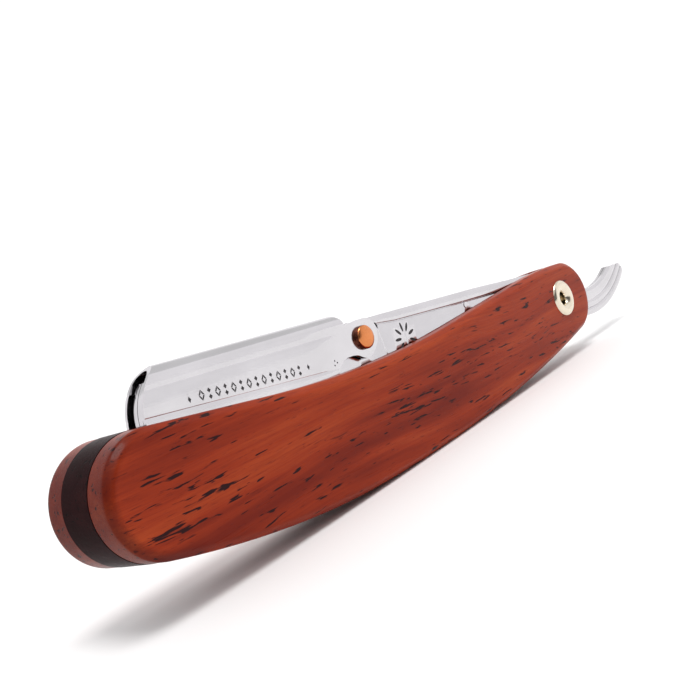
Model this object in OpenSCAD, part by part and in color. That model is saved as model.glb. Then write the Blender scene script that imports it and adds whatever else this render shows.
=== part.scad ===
// Closed straight razor of the replaceable-blade kind: two wooden scales on a
// tapered spacer, a twin-sheet steel arm with a curled tail, a half blade held
// between the sheets and a folded steel cover that swings on a copper rivet.
// The razor stands on its belly with the floor at z = 0. X runs along it with
// the wide end at -X and the tail at +X, Y is its thickness, front face at -Y.

/* [Handle] */
// Radius of the long flat part of the belly
belly_r = 410; // [400:1:420]
// Radius of the belly towards the wide end
sweep_r = 200; // [190:1:210]
// Radius of the round wide end
butt_r = 9.18; // [9.05:0.01:9.3]
// Radius of the round pivot end
toe_r = 8; // [7.7:0.1:8.2]
// Size of the softened outer edge of each scale
edge_ease = 1.2; // [0.8:0.1:1.5]
// Distance of the outer face from the middle at the pivot
half_out_pivot = 4.3; // [4.2:0.05:4.6]
// Distance of the outer face from the middle at the wide end
half_out_butt = 7.7; // [7.3:0.05:7.9]
// Distance of the inner face from the middle at the pivot
half_in_pivot = 1.45; // [1.42:0.01:1.6]
// Distance of the inner face from the middle at the wide end
half_in_butt = 3.1; // [3:0.05:3.3]
// Length of the spacer between the scales
wedge_len = 12.4; // [10:0.1:12.5]

/* [Pivot] */
// Radius of the bore through the eyelet
eyelet_bore_r = 1.35; // [1.1:0.05:1.45]
// Radius of the eyelet barrel
barrel_r = 1.9; // [1.8:0.05:2]
// Radius of the eyelet head
eyelet_r = 4.1; // [3.6:0.1:4.3]
// Height of the eyelet head above the scale
eyelet_h = 0.8; // [0.6:0.05:1]
// Thickness of each washer beside the arm
thrust_t = 0.25; // [0.2:0.01:0.28]

/* [Blade arm] */
// Thickness of each arm sheet
sheet_t = 1; // [0.9:0.02:1.02]
// Height of the blunt end of the tail above the pivot
tail_end = 3.8; // [3:0.1:4]
// Radius of the curl of the tail
tail_r = 31.2; // [30.5:0.1:32]
// Width of the tail
tail_w = 6.25; // [5.8:0.05:6.4]
// Depth of the two grooves along the tail
groove_d = 0.22; // [0.1:0.02:0.3]

/* [Blade] */
// Length of the half blade
blade_len = 42.8; // [42:0.1:43]
// Thickness of the blade
blade_t = 0.1; // [0.08:0.01:0.1]

/* [Cover] */
// Outer radius of the fold along the spine
fold_r = 2.1; // [2:0.02:2.15]
// Sheet thickness of the cover
cover_t = 0.55; // [0.45:0.05:0.6]
// Radius of the round nose
nose_r = 8.9; // [8.6:0.1:9.2]
// Radius of the ears around the rivet
ear_r = 4.4; // [4:0.1:4.6]
// Radius of the rivet heads
rivet_head_r = 2.15; // [2:0.05:2.4]
// Height of the rivet heads
rivet_head_h = 1.05; // [0.8:0.05:1.2]

/* [Hidden] */
$fn = 96;
fine = 360;

wood = [0.62, 0.2, 0.09];
dark_wood = [0.2, 0.07, 0.05];
steel = [0.78, 0.79, 0.81];
copper = [0.8, 0.42, 0.22];
nickel = [0.82, 0.79, 0.7];

// Handle outline, measured from the pivot with the spine of the arm level.
// Neighbouring curves meet within a few hundredths, the step called skin.
function unit(a) = [cos(a), sin(a)];
skin = 0.02;
c_belly = [-91.2, belly_r - 19.76];
crown_r = 140;
dip_r = 265;
butt_x = -125;
a_sweep = -88;
a_toe = -76.2;
a_crown = 90;
a_slope = 97.9;
a_back = 86.2;
slope_len = 28;
c_sweep = c_belly + (belly_r - sweep_r) * unit(a_sweep);
c_toe = c_belly + (belly_r - toe_r) * unit(a_toe);
c_crown = c_toe + (toe_r - crown_r) * unit(a_crown);
p_slope = c_crown + crown_r * unit(a_slope);
p_dip = p_slope + slope_len * unit(a_slope + 90);
c_dip = p_dip + dip_r * unit(a_slope);
p_back = c_dip - dip_r * unit(a_back);
// The wide end touches both the straight of the back and the belly.
q_butt = p_back - butt_r * unit(a_back) - c_sweep;
t_butt = sqrt(pow(q_butt * unit(a_back + 90), 2) - q_butt * q_butt
              + pow(sweep_r - butt_r, 2)) - q_butt * unit(a_back + 90);
c_butt = c_sweep + q_butt + t_butt * unit(a_back + 90);
a_butt = atan2(c_butt[1] - c_sweep[1], c_butt[0] - c_sweep[0]) + 360;
p_butt = c_butt + butt_r * unit(a_back);
back_len = norm(p_butt - p_back);
butt_skin = 2 * skin;
crown_skin = 2 * skin;
toe_skin = 3 * skin;
sweep_skin = 2 * skin;

out_deg = atan((half_out_butt - half_out_pivot) / -butt_x);
in_deg = atan((half_in_butt - half_in_pivot) / -butt_x);
seat = half_out_pivot - 0.13;
blank_t = 5.6;
ease_m = 1.6 * edge_ease;
ease_r = norm([ease_m, ease_m - edge_ease]);

// Arm, blade and cover
arm_in = 0.06;
arm_out = arm_in + sheet_t;
tail_c = [17.55, tail_r - 3];
tip_r = 1.7;
tip_c = [36.9, tail_end - tip_r];
rivet_at = [-67.05, 4.9];
rivet_r = 1.2;
pin_at = [-32.5, 5];
pin_r = 0.6;
stud_r = 1.2;
blade_top = 5.8;
blade_edge = -5.2;
blade_x = -92.2;
stud_x = [blade_x - 13.5, blade_x + 13.5];
spine_z = 10.15;
nose_c = [-108, 2];
cover_end = -76.15;
cover_low = -3.2;
fold_end = -71.3;
ear_half = 2;
flare = [fold_r + 0.3, 2.9];
hem = [1.62, cover_low];
notch_c = [-71.9, -1.9];
notch_r = cover_end - notch_c[0];

// Standing pose: the whole razor is turned so that it balances on its belly.
rest_deg = 5.03;
function turn(p) = [p[0] * cos(rest_deg) + p[1] * sin(rest_deg),
                    p[1] * cos(rest_deg) - p[0] * sin(rest_deg)];
floor_z = turn(c_belly)[1] - belly_r;
left_x = turn(c_butt)[0] - butt_r;
right_x = turn(tip_c)[0] + tip_r + skin;

// Puts a part drawn around the pivot into the standing pose
module standing()
    translate([-(left_x + right_x) / 2, 0, -floor_z]) rotate([0, rest_deg, 0]) children();

// Plate with a side-view outline, from y0 to y1
module plate(y0, y1)
    translate([0, y1, 0]) rotate([90, 0, 0]) linear_extrude(y1 - y0) children();

// Disc or pin across the razor at a point of the side view
module across(at, r, y0, y1)
    translate([at[0], y1, at[1]]) rotate([90, 0, 0]) cylinder(r = r, h = y1 - y0);

// Plane rounded off by an arc between two angles
module rounded_by(c, r, a0, a1, gap) {
    translate(c) circle(r + gap, $fn = fine);
    translate(c) rotate((a0 + a1) / 2) translate([r * cos((a1 - a0) / 2) - 400, -200])
        square(400);
}

module handle_outline()
    difference() {
        intersection() {
            polygon([p_back + skin * unit(a_back), p_back + 60 * unit(a_back + 90),
                     [-160, -60], [60, -60], p_slope + 60 * unit(a_slope - 90),
                     p_dip + skin * unit(a_slope)]);
            translate(c_belly) circle(belly_r, $fn = fine);
            rounded_by(c_sweep, sweep_r, a_butt - 360, a_sweep, sweep_skin);
            rounded_by(c_toe, toe_r, a_toe, a_crown, toe_skin);
            union() {
                rounded_by(c_crown, crown_r, a_crown, a_slope, crown_skin);
                translate([p_slope[0] - 200, -100]) square(200);
            }
            rounded_by(c_butt, butt_r, a_back, a_butt, butt_skin);
        }
        translate(c_dip) circle(dip_r, $fn = fine);
    }

// Sliver taken off the outer corner, with the corner at the origin
module corner_sliver()
    difference() {
        translate([-edge_ease - 0.3, -edge_ease - 0.3]) square(edge_ease + 1.3);
        translate([-ease_m, -ease_m]) circle(ease_r);
    }

module ease_arc(c, r, a0, a1)
    translate(c) rotate(a0) rotate_extrude(angle = a1 - a0, $fn = fine)
        translate([r, 0]) corner_sliver();

module ease_hollow(c, r, a0, a1)
    translate(c) rotate(a0) rotate_extrude(angle = a1 - a0, $fn = fine)
        translate([r, 0]) mirror([1, 0]) corner_sliver();

// Along a straight edge whose outward direction is at angle a, starting at p
module ease_line(p, a, len)
    translate(p) rotate(a) translate([skin, 0, 0]) rotate([90, 0, 0]) linear_extrude(len)
        corner_sliver();

// Wooden scale with its outer face up, drawn flat in the side view
module scale_blank()
    difference() {
        rotate([0, out_deg, 0]) translate([0, 0, half_out_pivot])
            difference() {
                translate([0, 0, -blank_t]) linear_extrude(blank_t) handle_outline();
                ease_arc(c_belly, belly_r, a_sweep - 2, a_toe + 4);
                ease_arc(c_sweep, sweep_r + sweep_skin, a_butt - 364, a_sweep);
                ease_arc(c_toe, toe_r + toe_skin, a_toe, a_crown);
                ease_arc(c_crown, crown_r + crown_skin, a_crown - 1.5, a_slope);
                ease_line(p_dip, a_slope, slope_len + 6);
                ease_hollow(c_dip, dip_r, a_back + 179, a_slope + 181);
                ease_line(p_butt + 6 * unit(a_back + 90), a_back, back_len + 6);
                ease_arc(c_butt, butt_r + butt_skin, a_back, a_butt);
            }
        rotate([0, in_deg, 0]) translate([-200, -100, half_in_pivot - 50])
            cube([400, 200, 50]);
        cylinder(r = barrel_r + 0.03, h = 20, center = true);
        translate([0, 0, seat]) cylinder(r = eyelet_r + 0.2, h = 5);
    }

module scale_front()
    color(wood) standing() rotate([90, 0, 0]) scale_blank();

module scale_back()
    color(wood) standing() mirror([0, 1, 0]) rotate([90, 0, 0]) scale_blank();

module wedge_spacer()
    color(dark_wood) standing() intersection() {
        plate(-8, 8) handle_outline();
        rotate([90, 0, 0]) rotate([0, in_deg, 0])
            translate([-200, -100, half_in_pivot - 50]) cube([400, 200, 50]);
        mirror([0, 1, 0]) rotate([90, 0, 0]) rotate([0, in_deg, 0])
            translate([-200, -100, half_in_pivot - 50]) cube([400, 200, 50]);
        translate([c_butt[0] - butt_r - 1, -10, -50]) cube([wedge_len + 1, 20, 100]);
    }

// Rolled eyelet: barrel, domed front head and a smaller lip at the back
module pivot_eyelet()
    color(nickel) standing() rotate([90, 0, 0]) difference() {
        union() {
            translate([0, 0, -seat - eyelet_h]) cylinder(r = barrel_r, h = 2 * seat + eyelet_h);
            translate([0, 0, seat]) cylinder(r = eyelet_r, h = 0.3);
            rotate_extrude() intersection() {
                translate([(eyelet_r + eyelet_bore_r) / 2, seat + 0.3 + eyelet_h / 2 - 2.45])
                    circle(2.3);
                translate([0, seat + 0.2]) square([eyelet_r, eyelet_h - 0.2]);
            }
            translate([0, 0, -seat - eyelet_h]) cylinder(r = 2.7, h = 0.35);
        }
        cylinder(r = eyelet_bore_r, h = 30, center = true);
        translate([0, 0, seat + eyelet_h - 0.7]) cylinder(r1 = eyelet_bore_r, r2 = 2.35, h = 0.9);
        translate([0, 0, -seat - eyelet_h - 0.1]) cylinder(r1 = 1.9, r2 = eyelet_bore_r, h = 0.6);
    }

module eyelet_back_washer()
    color(nickel) standing() difference() {
        across([0, 0], eyelet_r, seat, seat + eyelet_h - 0.37);
        across([0, 0], barrel_r + 0.03, seat - 1, seat + 1);
    }

module thrust_washer(y0)
    difference() {
        across([0, 0], 3.6, y0, y0 + thrust_t);
        across([0, 0], barrel_r + 0.05, y0 - 1, y0 + 1);
    }

module thrust_washer_front()
    color(nickel) standing() thrust_washer(-arm_out - 0.04 - thrust_t);

module thrust_washer_back()
    color(nickel) standing() thrust_washer(arm_out + 0.04);

// Curled tail with a blunt end, started well inside the limb
module tail_band()
    intersection() {
        difference() {
            translate(tail_c) circle(tail_r + tail_w / 2, $fn = fine);
            translate(tail_c) circle(tail_r - tail_w / 2, $fn = fine);
        }
        translate(tail_c) rotate(-100) square([100, 60]);
        translate([0, tail_end - 100]) square([tip_c[0] + tip_r, 100]);
        rounded_by(tip_c, tip_r, 0, 90, skin);
    }

// Side view of the limb with its round nose at the jaws
module limb()
    intersection() {
        polygon([[-120, 8], [-60, 8.1], [-28, 7.85], [-14, 7.5], [-2, 6.5], [4, 4.9], [14.5, -1],
                 [10, -5.4], [0, -5.7], [-30, -4.8], [-72, -3.2], [-120, -3.2]]);
        union() {
            translate(nose_c) circle(nose_r - 0.6);
            translate([nose_c[0], -20]) square([140, 40]);
        }
    }

// Two grooves following the curl on the outer side of the tail
module tail_grooves()
    for (r = [tail_r - 0.2, tail_r + 1.5])
        translate(tail_c) rotate(-90) rotate_extrude(angle = 60, $fn = fine)
            translate([r, arm_out]) circle(groove_d, $fn = 24);

// One arm sheet lying above the middle plane of the razor
module arm_sheet()
    rotate([90, 0, 0]) difference() {
        translate([0, 0, arm_in]) union() {
            linear_extrude(sheet_t) limb();
            linear_extrude(sheet_t) tail_band();
        }
        cylinder(r = barrel_r + 0.05, h = 5);
        translate(rivet_at) cylinder(r = rivet_r + 0.03, h = 5);
        translate(pin_at) cylinder(r = pin_r + 0.01, h = 5);
        for (x = stud_x) translate([x, blade_top]) cylinder(r = stud_r + 0.01, h = 5);
        tail_grooves();
    }

module arm_sheet_front()
    color(steel) standing() arm_sheet();

module arm_sheet_back()
    color(steel) standing() mirror([0, 1, 0]) arm_sheet();

module arm_pin()
    color(steel) standing() across(pin_at, pin_r, -arm_out, arm_out);

module blade_stud(x)
    color(steel) standing() across([x, blade_top], stud_r, -arm_out, arm_out);

module blade_stud_nose() blade_stud(stud_x[0]);

module blade_stud_heel() blade_stud(stud_x[1]);

// Half of a double-edge blade, snapped along its middle, edge down
module half_blade()
    color([0.6, 0.62, 0.66]) standing() plate(-blade_t / 2, blade_t / 2) difference() {
        translate([blade_x - blade_len / 2, blade_edge])
            square([blade_len, blade_top - blade_edge]);
        for (s = [-1, 1]) translate([blade_x + s * blade_len / 2, blade_edge]) {
            translate([-2.7, -1]) square([5.4, 4.7]);
        }
        for (x = stud_x) translate([x, blade_top]) circle(stud_r + 0.1);
        translate([blade_x, blade_top]) circle(2.4);
    }

// Copper rivet through the ears and the arm, flat heads with eased rims
module cover_rivet()
    color(copper) standing() union() {
        across(rivet_at, rivet_r, -ear_half - 0.2, ear_half + 0.2);
        for (s = [0, 1]) mirror([0, s, 0])
            translate([rivet_at[0], -ear_half - 0.04, rivet_at[1]]) rotate([90, 0, 0]) {
                cylinder(r = rivet_head_r, h = rivet_head_h - 0.25);
                translate([0, 0, rivet_head_h - 0.25])
                    cylinder(r1 = rivet_head_r, r2 = rivet_head_r - 0.25, h = 0.25);
            }
    }

// Section of the cover across the razor, x is thickness and y is height
module cover_section()
    difference() {
        union() {
            translate([0, spine_z - fold_r]) circle(fold_r);
            polygon([[-fold_r, spine_z - fold_r], -1 * [flare[0], -flare[1]], [-hem[0], hem[1]],
                     hem, flare, [fold_r, spine_z - fold_r]]);
        }
        translate([0, spine_z - fold_r]) circle(fold_r - cover_t);
        polygon([[cover_t - fold_r, spine_z - fold_r], [cover_t - flare[0], flare[1]],
                 [cover_t - hem[0], hem[1] - 1], [hem[0] - cover_t, hem[1] - 1],
                 [flare[0] - cover_t, flare[1]], [fold_r - cover_t, spine_z - fold_r]]);
    }

// Side view of the folded part, from the round nose to the end of the fold
module cover_side()
    difference() {
        union() {
            intersection() {
                translate(nose_c) circle(nose_r);
                translate([nose_c[0] - 20, cover_low - 1]) square([20, 30]);
            }
            translate([nose_c[0], cover_low - 1]) square([cover_end - nose_c[0], 30]);
            translate([cover_end - 1, 1.2]) square([fold_end - cover_end + 1, 20]);
        }
        translate(notch_c) circle(abs(notch_r));
    }

// Side view of one ear around the rivet
module ear_side()
    difference() {
        union() {
            intersection() {
                translate(rivet_at) circle(ear_r);
                translate([-100, -10]) square([60, 18.3]);
            }
            translate([fold_end - 0.4, 1]) square([rivet_at[0] - fold_end + 0.4, 7.3]);
        }
        translate(notch_c) circle(abs(notch_r));
        translate(rivet_at) circle(rivet_r + 0.05);
    }

module blade_cover()
    color(steel) standing() union() {
        intersection() {
            plate(-5, 5) cover_side();
            translate([-130, 0, 0]) rotate([90, 0, 90]) linear_extrude(80) cover_section();
        }
        for (s = [0, 1]) mirror([0, s, 0])
            plate(-ear_half, cover_t - ear_half) ear_side();
    }

scale_front();
scale_back();
wedge_spacer();
pivot_eyelet();
eyelet_back_washer();
thrust_washer_front();
thrust_washer_back();
arm_sheet_front();
arm_sheet_back();
arm_pin();
blade_stud_nose();
blade_stud_heel();
half_blade();
cover_rivet();
blade_cover();
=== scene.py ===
"""Looks of a closed straight razor: wooden scales, steel arm and cover, copper rivet."""
import math

import bmesh
import bpy
from mathutils import Matrix, Vector


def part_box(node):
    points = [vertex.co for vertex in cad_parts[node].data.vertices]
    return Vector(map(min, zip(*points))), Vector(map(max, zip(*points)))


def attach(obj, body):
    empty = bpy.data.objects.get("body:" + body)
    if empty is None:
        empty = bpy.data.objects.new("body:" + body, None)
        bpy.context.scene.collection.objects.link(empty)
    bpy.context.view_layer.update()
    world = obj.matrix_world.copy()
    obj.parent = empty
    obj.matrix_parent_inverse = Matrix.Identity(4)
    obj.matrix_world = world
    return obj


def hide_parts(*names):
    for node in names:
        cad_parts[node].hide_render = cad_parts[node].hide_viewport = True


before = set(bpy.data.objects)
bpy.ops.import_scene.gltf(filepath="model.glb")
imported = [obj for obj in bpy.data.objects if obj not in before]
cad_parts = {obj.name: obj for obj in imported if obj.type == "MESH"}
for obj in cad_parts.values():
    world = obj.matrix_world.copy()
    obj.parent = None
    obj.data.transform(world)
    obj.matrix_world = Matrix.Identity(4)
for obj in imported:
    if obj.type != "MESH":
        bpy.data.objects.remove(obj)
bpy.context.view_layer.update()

# ---------------------------------------------------------------- place of the razor
REST = math.radians(5.03)
lo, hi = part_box("thrust_washer_front")
PIVOT = Vector(((lo.x + hi.x) / 2, 0, (lo.z + hi.z) / 2))
SPIN = Matrix.Rotation(REST, 4, "Y")


def to_row(x, y, z):
    """Row-frame point, in metres, of a point given in mm from the pivot along the spine."""
    return PIVOT + SPIN @ Vector((x, y, z)) / 1000


def unit(deg):
    """Direction in the side view, from +X towards +Z."""
    a = math.radians(deg)
    return Vector((math.cos(a), math.sin(a)))


# Centres seen from the side, in mm from the pivot
RIVET = (-67.05, 4.9)
ARM_PIN = (-32.5, 5.0)
STUDS = ((-105.7, 5.8), (-78.7, 5.8))
NOSE, NOSE_R = (-108.0, 2.0), 8.9
# Radius of the pivot's barrel, and how far from the middle a through cut starts and ends
BARREL_R, THROUGH = 1.9, 12

# ---------------------------------------------------------------- handle outline
BELLY_R, SWEEP_R, TOE_R, CROWN_R, DIP_R, BUTT_R = 410.0, 200.0, 8.0, 140.0, 265.0, 9.18
A_SWEEP, A_TOE, A_SLOPE, A_BACK, SLOPE_LEN = -88.0, -76.2, 97.9, 86.2, 28.0
c_belly = Vector((-91.2, BELLY_R - 19.76))
c_sweep = c_belly + (BELLY_R - SWEEP_R) * unit(A_SWEEP)
c_toe = c_belly + (BELLY_R - TOE_R) * unit(A_TOE)
c_crown = c_toe + (TOE_R - CROWN_R) * unit(90)
p_slope = c_crown + CROWN_R * unit(A_SLOPE)
p_dip = p_slope + SLOPE_LEN * unit(A_SLOPE + 90)
c_dip = p_dip + DIP_R * unit(A_SLOPE)
p_back = c_dip - DIP_R * unit(A_BACK)
q_butt = p_back - BUTT_R * unit(A_BACK) - c_sweep
along = unit(A_BACK + 90)
t_butt = (math.sqrt(q_butt.dot(along) ** 2 - q_butt.dot(q_butt) + (SWEEP_R - BUTT_R) ** 2)
          - q_butt.dot(along))
c_butt = c_sweep + q_butt + t_butt * along
a_butt = math.degrees(math.atan2(c_butt.y - c_sweep.y, c_butt.x - c_sweep.x)) + 360


def arc(c, r, a0, a1, n, hollow=False):
    """Points and outward normals along an arc, the last point left out."""
    c, out = Vector(c), []
    for i in range(n):
        u = unit(a0 + (a1 - a0) * i / n)
        out.append((c - r * u, u) if hollow else (c + r * u, u))
    return out


def handle_outline():
    """Points and outward normals round the side of a scale."""
    pts = arc(c_sweep, SWEEP_R, a_butt - 360, A_SWEEP, 44)
    pts += arc(c_belly, BELLY_R, A_SWEEP, A_TOE, 70)
    pts += arc(c_toe, TOE_R, A_TOE, 90, 48)
    pts += arc(c_crown, CROWN_R, 90, A_SLOPE, 16)
    pts += [(p_slope + (p_dip - p_slope) * i / 14, unit(A_SLOPE)) for i in range(14)]
    pts += arc(c_dip, DIP_R, A_SLOPE, A_BACK, 44, hollow=True)
    p_butt = c_butt + BUTT_R * unit(A_BACK)
    pts += [(p_back + (p_butt - p_back) * i / 14, unit(A_BACK)) for i in range(14)]
    pts += arc(c_butt, BUTT_R, A_BACK, a_butt, 60)
    return pts


def through(points, n=6):
    """Smooth open curve through points of the side view."""
    p = [Vector(q) for q in points]
    out = []
    for i in range(len(p) - 1):
        a, b, c, d = p[max(i - 1, 0)], p[i], p[i + 1], p[min(i + 2, len(p) - 1)]
        for k in range(n):
            t = k / n
            out.append(0.5 * (2 * b + (c - a) * t + (2 * a - 5 * b + 4 * c - d) * t * t
                              + (3 * b - a - 3 * c + d) * t ** 3))
    return out + [p[-1]]


def between(x, table):
    """Straight-line lookup in a table of (x, value)."""
    for (a, va), (b, vb) in zip(table, table[1:]):
        if x <= b:
            return va + (vb - va) * max(0.0, (x - a) / (b - a))
    return table[-1][1]


def link(name, verts, faces):
    """Mesh object with merged doubles and outward faces."""
    me = bpy.data.meshes.new(name)
    me.from_pydata(verts, [], faces)
    me.validate()
    bm = bmesh.new()
    bm.from_mesh(me)
    bmesh.ops.remove_doubles(bm, verts=bm.verts, dist=1e-7)
    bmesh.ops.recalc_face_normals(bm, faces=bm.faces)
    bm.to_mesh(me)
    bm.free()
    ob = bpy.data.objects.new(name, me)
    bpy.context.scene.collection.objects.link(ob)
    return ob


def smooth(ob, deg=35):
    """Smooth shading, with edges over this angle left sharp."""
    for p in ob.data.polygons:
        p.use_smooth = True
    ob.data.set_sharp_from_angle(angle=math.radians(deg))


def apply_modifiers(ob):
    dg = bpy.context.evaluated_depsgraph_get()
    me = bpy.data.meshes.new_from_object(ob.evaluated_get(dg))
    ob.modifiers.clear()
    ob.data = me


def lathe(name, profile, x, z, steps=64, side=-1):
    """Closed ring turned about the razor's thickness; profile is (radius, height from the middle)."""
    verts, faces = [], []
    n = len(profile)
    for i in range(steps):
        a = 2 * math.pi * i / steps
        for r, h in profile:
            verts.append(to_row(x + r * math.cos(a), side * h, z + r * math.sin(a)))
    for i in range(steps):
        for k in range(n):
            a, b = i * n + k, i * n + (k + 1) % n
            c, d = ((i + 1) % steps) * n + (k + 1) % n, ((i + 1) % steps) * n + k
            faces.append((a, b, c, d))
    return link(name, verts, faces)


def cap_lathe(name, profile, x, z, steps=64, side=-1):
    """Solid turned piece; the profile runs from the axis round the outside and back to the axis."""
    verts, faces = [], []
    inner = profile[1:-1]
    n = len(inner)
    for i in range(steps):
        a = 2 * math.pi * i / steps
        for r, h in inner:
            verts.append(to_row(x + r * math.cos(a), side * h, z + r * math.sin(a)))
    verts.append(to_row(x, side * profile[0][1], z))
    verts.append(to_row(x, side * profile[-1][1], z))
    top, end = len(verts) - 2, len(verts) - 1
    for i in range(steps):
        j = (i + 1) % steps
        faces.append((top, i * n, j * n))
        faces.append((end, j * n + n - 1, i * n + n - 1))
        for k in range(n - 1):
            faces.append((i * n + k, i * n + k + 1, j * n + k + 1, j * n + k))
    return link(name, verts, faces)


def prism(name, outline, y0, y1):
    """Solid with a side-view outline between two distances from the middle."""
    n = len(outline)
    verts = [to_row(p[0], y0, p[1]) for p in outline] + [to_row(p[0], y1, p[1]) for p in outline]
    faces = [tuple(range(n)), tuple(range(n, 2 * n))]
    faces += [(i, (i + 1) % n, n + (i + 1) % n, n + i) for i in range(n)]
    return link(name, verts, faces)


def loft(name, sections):
    """Solid through closed sections with the same number of points, each (x, y, z) in mm."""
    n = len(sections[0])
    verts = [to_row(*p) for sec in sections for p in sec]
    faces = [tuple(range(n)), tuple((len(sections) - 1) * n + i for i in range(n))]
    for k in range(len(sections) - 1):
        for i in range(n):
            j = (i + 1) % n
            faces.append((k * n + i, k * n + j, (k + 1) * n + j, (k + 1) * n + i))
    return link(name, verts, faces)


def join(name, obs):
    """One mesh from several."""
    bm = bmesh.new()
    for ob in obs:
        bm.from_mesh(ob.data)
    me = bpy.data.meshes.new(name)
    bm.to_mesh(me)
    bm.free()
    for m in obs[0].data.materials:
        me.materials.append(m)
    for ob in obs:
        bpy.data.objects.remove(ob)
    ob = bpy.data.objects.new(name, me)
    bpy.context.scene.collection.objects.link(ob)
    return ob


def boolean(ob, cutter, operation):
    """Cut or trim a piece; the cut faces take the cutter's material."""
    mod = ob.modifiers.new("cut", "BOOLEAN")
    mod.operation, mod.object, mod.solver = operation, cutter, "EXACT"
    mod.material_mode = "TRANSFER"
    apply_modifiers(ob)
    bpy.data.objects.remove(cutter)


def dress(ob, material):
    """Give the whole piece one material."""
    ob.data.materials.clear()
    ob.data.materials.append(material)


def keep_inside(ob, outline, material):
    """Trim a piece to a side-view outline."""
    side = prism("side", outline, -THROUGH, THROUGH)
    dress(side, material)
    boolean(ob, side, "INTERSECT")


def drill(ob, at, r, material, steps=64):
    """Hole right through the razor's thickness."""
    bit = cap_lathe("bit", [(0, -THROUGH), (r, -THROUGH), (r, THROUGH), (0, THROUGH)], *at, steps)
    dress(bit, material)
    boolean(ob, bit, "DIFFERENCE")


def engrave(ob, cutters):
    """Sunk marks, with painted shade inside."""
    marks = join("marks", cutters)
    dress(marks, painted_mark_shade)
    boolean(ob, marks, "DIFFERENCE")


def finish_piece(ob, material, nodes, body, deg=35):
    """Shade a piece and tell the frame what it stands for."""
    smooth(ob, deg)
    if material:
        dress(ob, material)
    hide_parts(*nodes)
    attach(ob, body)


# ---------------------------------------------------------------- materials
class Mat:
    """Small helper to write node materials."""

    def __init__(self, name):
        self.m = bpy.data.materials.new(name)
        self.m.use_nodes = True
        self.nt = self.m.node_tree
        self.bsdf = self.nt.nodes["Principled BSDF"]

    def node(self, kind, inputs=None, **props):
        n = self.nt.nodes.new(kind)
        for k, v in props.items():
            setattr(n, k, v)
        for k, v in (inputs or {}).items():
            self.put(n.inputs[k], v)
        return n

    def put(self, socket, v):
        if isinstance(v, bpy.types.NodeSocket):
            self.nt.links.new(v, socket)
        elif socket.type == "RGBA" and len(v) == 3:
            socket.default_value = (*v, 1)
        else:
            socket.default_value = v

    def set(self, **kw):
        for k, v in kw.items():
            self.put(self.bsdf.inputs[k.replace("_", " ")], v)

    def coords(self, scale, offset=(0, 0, 0)):
        """Object coordinates turned level with the spine, in units of scale mm."""
        place = self.node("ShaderNodeTexCoord").outputs["Object"]
        turn = self.node("ShaderNodeMapping", {"Vector": place, "Rotation": (0, -REST, 0)})
        size = self.node("ShaderNodeMapping", {"Vector": turn.outputs[0], "Location": offset,
                                               "Scale": tuple(1000.0 / s for s in scale)})
        return size.outputs[0]

    def noise(self, vector, scale=1.0, detail=2.0, rough=0.5, distort=0.0):
        ins = {"Vector": vector, "Scale": scale, "Detail": detail, "Roughness": rough,
               "Distortion": distort}
        return self.node("ShaderNodeTexNoise", ins).outputs["Fac"]

    def math(self, op, a, b):
        return self.node("ShaderNodeMath", {0: a, 1: b}, operation=op).outputs[0]

    def vector(self, op, a, b=(0, 0, 0)):
        n = self.node("ShaderNodeVectorMath", {0: a, 1: b}, operation=op)
        return n.outputs["Value" if op in ("LENGTH", "DOT_PRODUCT") else "Vector"]

    def span(self, v, a, b, c=0.0, d=1.0):
        return self.node("ShaderNodeMapRange", {"Value": v, "From Min": a, "From Max": b,
                                                "To Min": c, "To Max": d}).outputs[0]

    def mix(self, fac, a, b):
        n = self.node("ShaderNodeMix", data_type="RGBA")
        self.put(n.inputs["Factor"], fac)
        self.put(n.inputs[6], a)
        self.put(n.inputs[7], b)
        return n.outputs[2]

    def ramp(self, fac, stops):
        n = self.node("ShaderNodeValToRGB", {"Fac": fac})
        els = n.color_ramp.elements
        while len(els) < len(stops):
            els.new(0.5)
        for e, (p, c) in zip(els, stops):
            e.position = p
            e.color = c if len(c) == 4 else (*c, 1)
        return n.outputs[0]

    def bump(self, height, distance, strength=1.0):
        n = self.node("ShaderNodeBump", {"Height": height, "Distance": distance, "Strength": strength})
        self.put(self.bsdf.inputs["Normal"], n.outputs[0])


def wide_end_shade(m):
    """Painted shade: 1 on the rim round the wide end, 0 on the faces and along the handle."""
    away = m.vector("SUBTRACT", m.node("ShaderNodeTexCoord").outputs["Object"],
                    tuple(to_row(c_butt.x, 0, c_butt.y)))
    radius = m.vector("LENGTH", m.vector("MULTIPLY", away, (1, 0, 1)))
    sideways = m.node("ShaderNodeSeparateXYZ", {0: away}).outputs[0]
    return m.math("MULTIPLY", m.span(radius, 0.0074, 0.0088), m.span(sideways, 0.004, -0.004))


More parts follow.
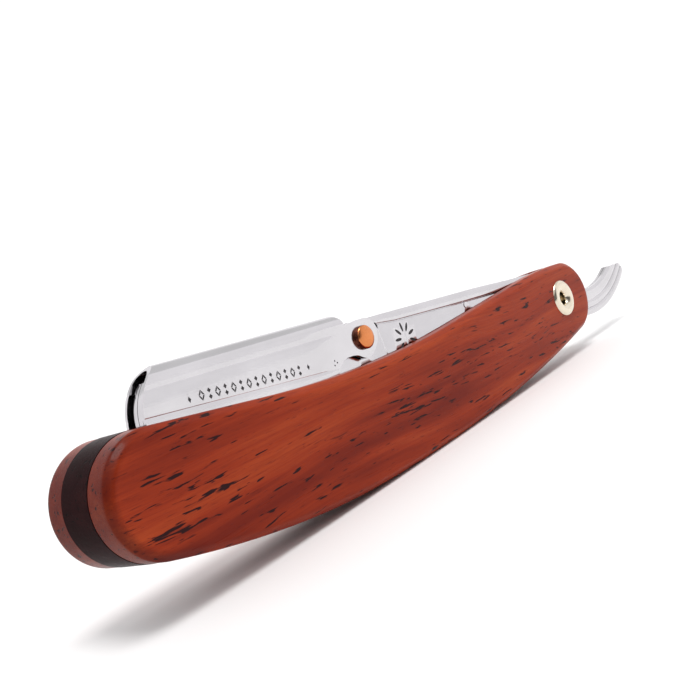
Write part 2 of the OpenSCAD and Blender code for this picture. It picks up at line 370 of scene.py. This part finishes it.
def wood(name, tones, fleck, shift, shine=1.0):
    """Straight-grained dyed wood with dark pores and dashes, and painted shade on the rim of the wide
    end.
    """
    m = Mat(name)
    warp = m.noise(m.coords((60, 40, 30), shift), detail=1)
    bend = m.math("MULTIPLY", m.math("SUBTRACT", warp, 0.5), 9.0)
    lift = m.node("ShaderNodeCombineXYZ", {"Z": bend}).outputs[0]
    turned = m.node("ShaderNodeMapping", {"Vector": m.vector("ADD", m.coords((1, 1, 1), shift), lift),
                                          "Rotation": (0, math.radians(3.5), 0)}).outputs[0]

    def along(x, y, z, offset=(0, 0, 0)):
        """Coordinates for a grain of x by y by z mm."""
        return m.node("ShaderNodeMapping", {"Vector": turned, "Location": offset,
                                            "Scale": (1 / x, 1 / y, 1 / z)}).outputs[0]

    # Colour: broad clouds, narrow bands, then fine grain and pores
    broad = m.noise(along(55, 22, 9), detail=2, distort=0.6)
    bands = m.noise(along(150, 3, 2.6), detail=3, rough=0.55, distort=0.4)
    tone = m.math("ADD", m.math("MULTIPLY", broad, 0.55), m.math("MULTIPLY", bands, 0.45))
    col = m.ramp(tone, [(0.36, tones[0]), (0.5, tones[1]), (0.63, tones[2])])
    grain = m.noise(along(20, 0.4, 0.3), detail=4, rough=0.65)
    col = m.mix(m.span(grain, 0.42, 0.72, 0.0, 0.5), col, tones[0])
    pores = m.span(m.noise(along(2.6, 0.16, 0.14), detail=2), 0.62, 0.72)
    col = m.mix(m.math("MULTIPLY", pores, 0.35), col, fleck)

    # Dark dashes, gathered in patches, and a few big ones
    where = m.noise(along(26, 9, 6, (3, 1, 7)), detail=1)
    dash = m.noise(along(5.2, 0.8, 0.56), detail=2, distort=0.35)
    big = m.noise(along(9.0, 1.2, 0.95, (11, 3, 5)), detail=2, rough=0.45, distort=0.3)
    limit = m.math("SUBTRACT", 0.78, m.math("MULTIPLY", where, 0.26))
    both = m.math("MAXIMUM", m.math("SUBTRACT", dash, limit), m.math("SUBTRACT", big, 0.70))
    flecks = m.span(both, -0.01, 0.04)
    col = m.mix(flecks, col, fleck)
    # Painted shade: the rim round the wide end is darkened towards the fleck colour.
    col = m.mix(wide_end_shade(m), col, m.mix(0.55, col, fleck))

    m.set(Base_Color=col, Roughness=m.span(grain, 0.3, 0.7, 0.26, 0.36),
          Specular_IOR_Level=0.06 * shine, Coat_Weight=0.07 * shine, Coat_Roughness=0.12, Coat_IOR=1.45)
    sunk = m.math("MULTIPLY", m.math("ADD", pores, flecks), 0.4)
    m.bump(m.math("SUBTRACT", m.math("MULTIPLY", grain, 0.35), sunk), 0.00006, 0.5)
    return m.m


def metal(name, color, rough, scratches=(30, 0.2, 0.25), tarnish=None):
    """Polished metal with fine scratches and faint clouds."""
    m = Mat(name)
    fine = m.noise(m.coords(scratches), detail=3, rough=0.6)
    cloud = m.noise(m.coords((14, 9, 7)), detail=3, rough=0.55)
    dark = tarnish or tuple(c * 0.9 for c in color)
    m.set(Base_Color=m.mix(m.span(cloud, 0.35, 0.68), (*dark, 1), (*color, 1)), Metallic=1.0,
          Roughness=m.math("ADD", m.span(cloud, 0.35, 0.7, rough * 0.75, rough * 1.25),
                           m.span(fine, 0.5, 0.75, 0.0, 0.05)))
    m.bump(m.math("ADD", m.math("MULTIPLY", fine, 0.25), cloud), 0.00002, 0.5)
    return m.m


def plain(name, a, b, size, rough, metallic=0.0):
    """Paint with a soft procedural variation between two colours."""
    m = Mat(name)
    fac = m.span(m.noise(m.coords((size, size, size)), detail=2), 0.35, 0.65)
    m.set(Base_Color=m.mix(fac, (*a, 1), (*b, 1)), Roughness=rough, Metallic=metallic)
    return m.m


def light_wall(name, a, b, size, glow):
    """Glowing paper round the studio, dim on the side behind the camera."""
    m = Mat(name)
    fac = m.span(m.noise(m.coords((size, size, size)), detail=2), 0.35, 0.65)
    col = m.mix(fac, (*a, 1), (*b, 1))
    place = m.node("ShaderNodeTexCoord").outputs["Object"]
    facing = m.vector("DOT_PRODUCT", place, (0.62, 0.78, 0))
    m.set(Base_Color=m.mix(0.97, col, (0, 0, 0)), Roughness=0.8, Emission_Color=col,
          Emission_Strength=m.span(facing, -2.3, -1.3, 0.1 * glow, glow))
    return m.m


# Dark, middle and light tones of each wood, and its flecks
RED = [(0.17, 0.015, 0.006), (0.31, 0.034, 0.009), (0.41, 0.06, 0.015)]
DARK = [(0.02, 0.004, 0.004), (0.032, 0.006, 0.008), (0.05, 0.011, 0.012)]
FLECK = (0.024, 0.005, 0.006, 1)
wood_front = wood("red_wood_front", RED, FLECK, (0.0, 0.0, 0.0))
wood_back = wood("red_wood_back", RED, FLECK, (33.0, 17.0, 51.0))
wood_dark = wood("dark_wood", DARK, (0.006, 0.003, 0.003, 1), (91.0, 42.0, 22.0), 0.2)
steel = metal("polished_steel", (0.66, 0.645, 0.665), 0.12)
blade_steel = metal("blade_steel", (0.5, 0.51, 0.54), 0.22)
copper = metal("copper", (0.7, 0.25, 0.09), 0.2, (0.5, 0.5, 0.5), (0.5, 0.14, 0.045))
# Darker copper painted as shade on the side walls of the rivet heads.
copper_painted_shade = metal("copper_painted_shade", (0.16, 0.05, 0.03), 0.35, (0.5, 0.5, 0.5))
nickel = metal("nickel", (0.82, 0.74, 0.60), 0.16, (0.4, 0.4, 0.4))
# Near-black painted shade for the cut faces inside the sunk marks.
painted_mark_shade = plain("engraved", (0.03, 0.03, 0.035), (0.07, 0.065, 0.07), 0.6, 0.6)


# ---------------------------------------------------------------- wooden scales
# Distances of the outer and inner faces from the middle: at the pivot, and SPAN nearer the wide end
HALF_OUT, HALF_IN, SPAN = (4.3, 7.7), (1.45, 3.1), 125.0
# Steps of the eased rim: how far in from the outline, and how far below the outer face
RIM = [(0.0, 1.75), (0.0, 1.3), (0.03, 1.12), (0.11, 0.96), (0.24, 0.8), (0.42, 0.62), (0.6, 0.44),
       (0.78, 0.27), (0.95, 0.14), (1.12, 0.05), (1.34, 0.0), (2.2, 0.0), (4.2, 0.0), (6.2, 0.0)]
# The wood stays this far inside the CAD's box
SKIN = 0.02


def out_at(x):
    """Distance of the outer face from the middle."""
    return HALF_OUT[0] + (HALF_OUT[1] - HALF_OUT[0]) * -x / SPAN


def in_at(x):
    """Distance of the inner face from the middle."""
    return HALF_IN[0] + (HALF_IN[1] - HALF_IN[0]) * -x / SPAN


def scale(name, side, material):
    """One wooden scale, from its inner face round the rim to its outer face."""
    outline = handle_outline()
    n = len(outline)
    rings = [(0.12, "in", 0.0), (0.0, "in", 0.12)] + [(a, "out", h) for a, h in RIM]
    verts = []
    for inset, ref, h in rings:
        for p, u in outline:
            q = p - u * (inset + SKIN)
            y = in_at(q.x) + h if ref == "in" else out_at(q.x) - h - SKIN
            verts.append(to_row(q.x, side * y, q.y))
    faces = []
    for k in range(len(rings) - 1):
        for i in range(n):
            j = (i + 1) % n
            faces.append((k * n + i, k * n + j, (k + 1) * n + j, (k + 1) * n + i))
    faces.append(tuple(range(n)))
    faces.append(tuple((len(rings) - 1) * n + i for i in range(n)))
    ob = link(name, verts, faces)
    dress(ob, material)
    drill(ob, (0, 0), BARREL_R + 0.03, material)
    finish_piece(ob, material, ["scale_front" if side < 0 else "scale_back"], "handle", 30)


scale("front_scale_wood", -1, wood_front)
scale("back_scale_wood", 1, wood_back)
dress(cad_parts["wedge_spacer"], wood_dark)

# ---------------------------------------------------------------- folded cover
# Radius and height of the spine fold, thickness of the sheet, and the ears' distance from the middle
FOLD_R, FOLD_Z, SHEET, EAR_HALF = 2.1, 8.05, 0.55, 2.0


def cover_section(x):
    """Closed section of the cover: outside from the near hem over the fold, back along the inside."""
    # The creases die out towards the flat ears.
    flat = min(1.0, max(0.0, (x + 82.0) / 10.0))
    flat = flat * flat * (3 - 2 * flat)
    low = 2.96 - 0.0464 * (x + 115.7)
    wall = [(2.42, -3.2), (2.42, low - 1.6), (2.4, low - 0.6), (2.35, low - 0.14), (2.28, low),
            (2.31, low + 0.12), (2.33, low + 0.6), (2.27, 5.0), (2.22, 6.1), (2.18, 6.45), (2.11, 6.72),
            (2.08, 6.85), (2.11, 7.0), (2.13, 7.3), (2.11, 7.7)]
    wall = [(w + (EAR_HALF - w) * flat, z) for w, z in wall]
    fold = [(FOLD_R * math.cos(a), FOLD_Z + FOLD_R * math.sin(a))
            for a in (math.pi * k / 20 for k in range(21))]
    outer = [(-w, z) for w, z in wall] + [(-w, z) for w, z in fold]
    outer += [(w, z) for w, z in reversed(wall)]
    k = (FOLD_R - SHEET) / FOLD_R
    inner = [(-(w - SHEET), z) for w, z in wall]
    inner += [(-w * k, FOLD_Z + (z - FOLD_Z) * k) for w, z in fold]
    inner += [(w - SHEET, z) for w, z in reversed(wall)]
    return [(x, y, z) for y, z in outer + inner[::-1]]


# Round the ear, from the end of the fold to the thumb notch
EAR = [(-70.9, 7.85), (-69.5, 8.02), (-67.6, 8.2), (-66.0, 8.2), (-64.8, 8.05), (-63.7, 7.5),
       (-62.95, 6.6), (-62.8, 5.4), (-63.15, 4.2), (-63.7, 3.3), (-64.6, 2.38), (-65.6, 1.65),
       (-66.6, 1.25), (-67.6, 1.25), (-68.5, 1.6), (-69.6, 2.15), (-70.9, 2.35)]
# The engraved row is cut from outside the near wall inwards, to these distances before the middle
ROW_TOP, ROW_FLOOR, END_FLOOR, DOT_FLOOR = -3.2, -2.25, -2.22, -1.95


def cover_outline():
    """Side view: round nose, lower edge, thumb notch, ear and the end of the fold."""
    pts = [p for p, _ in arc(NOSE, NOSE_R, 113.7, 215.7, 50)]
    pts += [Vector((-115.2, -3.25)), Vector((-76.15, -3.25))]
    pts += [p for p, _ in arc((-71.9, -1.9), 4.25, 180, 82, 20)]
    pts += through(EAR)[::-1]
    pts += [p for p, _ in arc((-73.4, 7.8), 2.4, 4, 90, 12)]
    return pts + [Vector((-73.4, 10.2)), Vector((-111.5, 10.2))]


def corners(x, z, w, h):
    """Corners of a lozenge w and h from its centre."""
    return [Vector((x - w, z)), Vector((x, z - h)), Vector((x + w, z)), Vector((x, z + h))]


def hollow_lozenge(x, z, w, h):
    """Cutters for the four strokes of an open lozenge, with a small gap at each corner."""
    ring, centre = corners(x, z, w, h), Vector((x, z))
    hole, gap = 0.5, 0.06
    strokes = []
    for i in range(4):
        a, b = ring[i], ring[(i + 1) % 4]
        inner_a, inner_b = centre + (a - centre) * hole, centre + (b - centre) * hole
        stroke = [a.lerp(b, gap), b.lerp(a, gap), inner_b.lerp(inner_a, gap), inner_a.lerp(inner_b, gap)]
        strokes.append(prism("mark", stroke, ROW_TOP, ROW_FLOOR))
    return strokes


def row_marks():
    """Cutters for a plain row of hollow lozenges and pairs of small ones, with three dots beyond."""
    cuts = []
    for i in range(14):
        t = i / 13
        x, z = -105.9 + 21.0 * t, 3.84 - 1.02 * t
        if i % 2:
            cuts += [prism("mark", corners(x, z + dz, 0.36, 0.4), ROW_TOP, ROW_FLOOR)
                     for dz in (-0.5, 0.5)]
        else:
            cuts += hollow_lozenge(x, z, 0.62, 0.92)
    for x, z in ((-108.3, 3.75), (-82.7, 2.9)):
        cuts.append(prism("mark", corners(x, z, 0.3, 0.5), ROW_TOP, END_FLOOR))
    for x, z in ((-75.95, 2.5), (-76.2, 1.75), (-75.4, 2.1)):
        dot = [p for p, _ in arc((x, z), 0.16, 0, 360, 8)]
        cuts.append(prism("mark", dot, ROW_TOP, DOT_FLOOR))
    return cuts


def cover():
    """Folded sheet over the blade, with its ears and engraved row."""
    stations = [-118 + 0.8 * i for i in range(45)]
    stations += [-81.6 + 0.5 * i for i in range(24)]
    stations += [-69 + i for i in range(8)]
    ob = loft("cover_shell", [cover_section(x) for x in stations])
    dress(ob, steel)
    keep_inside(ob, cover_outline(), steel)
    drill(ob, RIVET, 1.25, steel)
    engrave(ob, row_marks())
    finish_piece(ob, None, ["blade_cover"], "cover", 28)


cover()

# ---------------------------------------------------------------- arm sheets with the curled tail
# Centre of the tail's curl, and the inner and outer radius of each band
TAIL_C = Vector((17.55, 28.2))
TAIL_BANDS = ((28.08, 31.0), (31.0, 32.7), (32.7, 34.3))


def limb_section(x):
    """Half section of the limb: flat side, groove under the spine band, eased top."""
    line = between(x, [(-120, 6.6), (-61.6, 6.6), (-55.9, 6.12), (-44.7, 5.92), (-31.8, 5.68),
                       (-17, 5.54), (16, 5.3)])
    top = between(x, [(-120, 7.98), (-60, 8.08), (-28, 7.83), (-14, 7.48), (16, 7.2)])
    return [(0.06, -6.2), (0.94, -6.2), (0.94, line - 0.34), (0.88, line - 0.2), (0.76, line - 0.08),
            (0.78, line), (0.96, line + 0.1), (1.03, line + 0.2), (1.05, line + 0.35),
            (1.05, top - 0.95), (1.02, top - 0.82), (0.86, top - 0.22), (0.8, top - 0.08),
            (0.7, top), (0.06, top)]


def limb_outline():
    """Side view of the limb, a little inside the cover's nose at one end."""
    nose = [p for p, _ in arc(NOSE, NOSE_R - 0.6, 133, 218.5, 40)]
    return nose + [(-72, -3.2), (-30, -4.8), (0, -5.7), (10, -5.4), (14.5, -1), (4, 4.9), (3.9, 9),
                   (-113.2, 9)]


def tail_section(deg):
    """Half section of the tail at one angle of its curl: three raised bands side by side."""
    inner, outer = TAIL_BANDS[0][0], TAIL_BANDS[-1][1]
    pts = [(inner, 0.06)]
    for a, b in TAIL_BANDS:
        first = 0 if a == inner else 1
        for k in range(first, 11):
            t = 2 * k / 10 - 1
            pts.append((a + (b - a) * k / 10, 1.04 - 0.26 * abs(t) ** 3.5))
    pts.append((outer, 0.06))
    u = unit(deg)
    return [(TAIL_C.x + r * u.x, y, TAIL_C.y + r * u.y) for r, y in pts]


def petals():
    """Cutters for a plain open rosette."""
    cx, cz = -54.2, 2.5
    cuts = []
    for i in range(9):
        a = math.radians(20 + 40 * i)
        ring = []
        for k in range(12):
            t = 2 * math.pi * k / 12
            r, s = 2.15 + 0.95 * math.cos(t), 0.3 * math.sin(t)
            ring.append((cx + r * math.cos(a) - s * math.sin(a), cz + r * math.sin(a) + s * math.cos(a)))
        cuts.append(prism("petal", ring, -2, -0.86))
    return cuts


def tail_outline():
    """Side view round the tail's blunt tip."""
    tip = through([(29.1, 3.2), (29.6, 3.78), (30.6, 3.8), (33.6, 3.52), (35.8, 3.66), (37.2, 3.74),
                   (38.2, 3.1), (38.6, 2.1), (38.6, 0.0)], 5)
    return [(5, 3.2)] + tip + [(41, -4), (41, -9), (5, -9)]


def arm_sheet(side):
    """One of the two sheets of the arm, limb and curled tail."""
    stations = [-118 + 2 * i for i in range(63)] + [8 + 0.5 * i for i in range(16)]
    limb = loft("limb", [[(x, side * y, z) for y, z in limb_section(x)] for x in stations])
    curl = [tail_section(-100 + 55 * i / 70) for i in range(71)]
    tail = loft("tail", [[(x, side * y, z) for x, y, z in section] for section in curl])
    for ob, outline in ((limb, limb_outline()), (tail, tail_outline())):
        dress(ob, steel)
        keep_inside(ob, outline, steel)
    if side < 0:
        nick = prism("nick", [(-61.9, 6.95), (-61.0, 6.5), (-61.2, 5.5)], -2, -0.7)
        engrave(limb, petals() + [nick])
    holes = [((0, 0), BARREL_R + 0.05), (RIVET, 1.23), (ARM_PIN, 0.61)] + [(at, 1.21) for at in STUDS]
    for at, r in holes:
        drill(limb, at, r, steel, 40)
    name = "front" if side < 0 else "back"
    ob = join(name + "_arm_sheet", [limb, tail])
    finish_piece(ob, None, ["arm_sheet_" + name], "blade_arm", 28)


arm_sheet(-1)
arm_sheet(1)
for node in ("arm_pin", "blade_stud_nose", "blade_stud_heel"):
    dress(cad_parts[node], steel)
dress(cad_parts["half_blade"], blade_steel)


# ---------------------------------------------------------------- rivet and eyelet
def copper_rivet():
    """Domed heads on both ears; their side walls carry painted shade, a darker copper."""
    head = [(0, 3.16), (0.7, 3.15), (1.3, 3.1), (1.75, 3.0), (1.98, 2.9), (2.1, 2.76), (2.14, 2.6),
            (2.14, 2.04)]
    profile = head + [(1.2, 2.04), (1.2, -2.04)] + [(r, -h) for r, h in reversed(head)]
    ob = cap_lathe("copper_rivet", profile, *RIVET, steps=72)
    ob.data.materials.append(copper)
    ob.data.materials.append(copper_painted_shade)
    # Faces turned sideways get the painted shade.
    for p in ob.data.polygons:
        p.material_index = 1 if abs(p.normal.y) < 0.45 else 0
    finish_piece(ob, None, ["cover_rivet"], "blade_arm", 50)


def eyelet():
    """Tubular pivot: rolled head in front, smaller lip behind."""
    seat = 4.17
    lip = BARREL_R - 0.02
    ring = [(1.36, -seat - 0.3), (1.36, seat - 0.35), (1.42, seat - 0.05), (1.6, seat + 0.22),
            (1.9, seat + 0.45), (2.3, seat + 0.64), (2.75, seat + 0.74), (3.2, seat + 0.74),
            (3.6, seat + 0.64), (3.9, seat + 0.46), (4.06, seat + 0.26), (4.1, seat + 0.05),
            (4.08, seat), (lip, seat), (lip, -seat - 0.45), (2.62, -seat - 0.5), (2.66, -seat - 0.66),
            (2.4, -seat - 0.77), (1.8, -seat - 0.7)]
    finish_piece(lathe("eyelet", ring, 0, 0, 80), nickel, ["pivot_eyelet"], "handle", 50)


copper_rivet()
eyelet()
for node in ("eyelet_back_washer", "thrust_washer_front", "thrust_washer_back"):
    dress(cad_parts[node], nickel)

# ---------------------------------------------------------------- studio
floor = link("floor", [(-4, -4, 0), (4, -4, 0), (4, 4, 0), (-4, 4, 0)], [(0, 1, 2, 3)])
dress(floor, plain("floor", (0.91, 0.91, 0.91), (0.94, 0.94, 0.94), 90, 0.6))
# The wall is a ring of flat sides, in metres
WALL_R, WALL_H, SIDES = 3.9, 2.6, 64
foot = [(WALL_R * math.cos(2 * math.pi * i / SIDES), WALL_R * math.sin(2 * math.pi * i / SIDES))
        for i in range(SIDES)]
wall = link("wall", [(x, y, 0) for x, y in foot] + [(x, y, WALL_H) for x, y in foot],
            [(i, (i + 1) % SIDES, SIDES + (i + 1) % SIDES, SIDES + i) for i in range(SIDES)])
dress(wall, light_wall("wall", (0.9, 0.89, 0.9), (0.94, 0.93, 0.94), 900, 1.12))

world = bpy.data.worlds.new("studio")
bpy.context.scene.world = world
world.use_nodes = True
world.node_tree.nodes["Background"].inputs["Color"].default_value = (1, 1, 1, 1)
world.node_tree.nodes["Background"].inputs["Strength"].default_value = 0.8

key = bpy.data.lights.new("key", "SUN")
key.energy, key.angle, key.color = 1.7, math.radians(26), (1.0, 0.985, 0.98)
lamp = bpy.data.objects.new("key", key)
bpy.context.scene.collection.objects.link(lamp)
lamp.rotation_euler = Vector((0.03, 0.3, -0.95)).to_track_quat("-Z", "Y").to_euler()

# ---------------------------------------------------------------- camera
# Width of the sensor in mm, focal length in sensor widths, and the camera's axes in razor directions
SENSOR, FOCAL = 36, 10 / 7
right = SPIN.to_3x3() @ Vector((0.6357, -0.7151, -0.2907))
down = SPIN.to_3x3() @ Vector((-0.2044, 0.2072, -0.9567))
ahead = SPIN.to_3x3() @ Vector((0.7444, 0.6676, -0.0145))
cam_data = bpy.data.cameras.new("camera")
cam = bpy.data.objects.new("camera", cam_data)
bpy.context.scene.collection.objects.link(cam)
rot = Matrix((right, -down, -ahead)).transposed()
cam.matrix_world = Matrix.Translation(to_row(-200.4, -117.8, 6.0)) @ rot.to_4x4()
cam_data.sensor_width = SENSOR
cam_data.lens = SENSOR * FOCAL
cam_data.clip_start = 0.01
bpy.context.scene.camera = cam
bpy.context.scene.view_settings.view_transform = "Standard"
